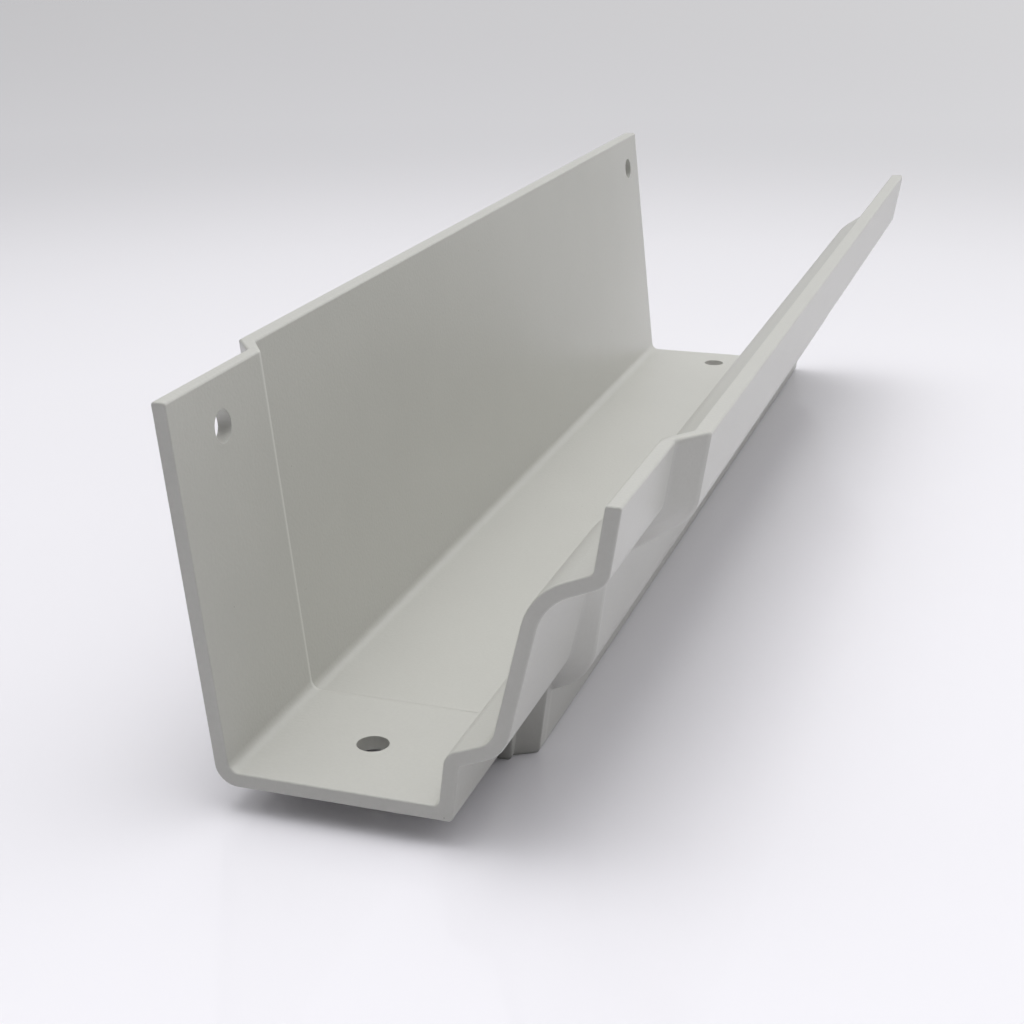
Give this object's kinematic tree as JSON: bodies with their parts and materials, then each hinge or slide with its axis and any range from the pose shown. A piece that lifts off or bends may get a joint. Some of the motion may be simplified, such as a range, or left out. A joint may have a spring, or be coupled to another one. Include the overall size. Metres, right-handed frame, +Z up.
{
  "type": "moulded ogee gutter section",
  "caption": "Short length of ogee-moulded metal gutter with a leaning back wall, flat sole, joggled spigot end and round fixing holes near both ends.",
  "frame": {"origin": "underside of the sole at mid-length, half way across the overall width", "axes": "+Y along the gutter from its spigot end to its open end, +X from the back wall to the front lip, +Z up"},
  "size_m": [0.1252, 0.442, 0.1046],
  "materials": {
    "satin_paint": "satin light grey paint, fine orange peel"
  },
  "bodies": {
    "root": {"gutter_section": "satin_paint"}
  },
  "joints": []
}
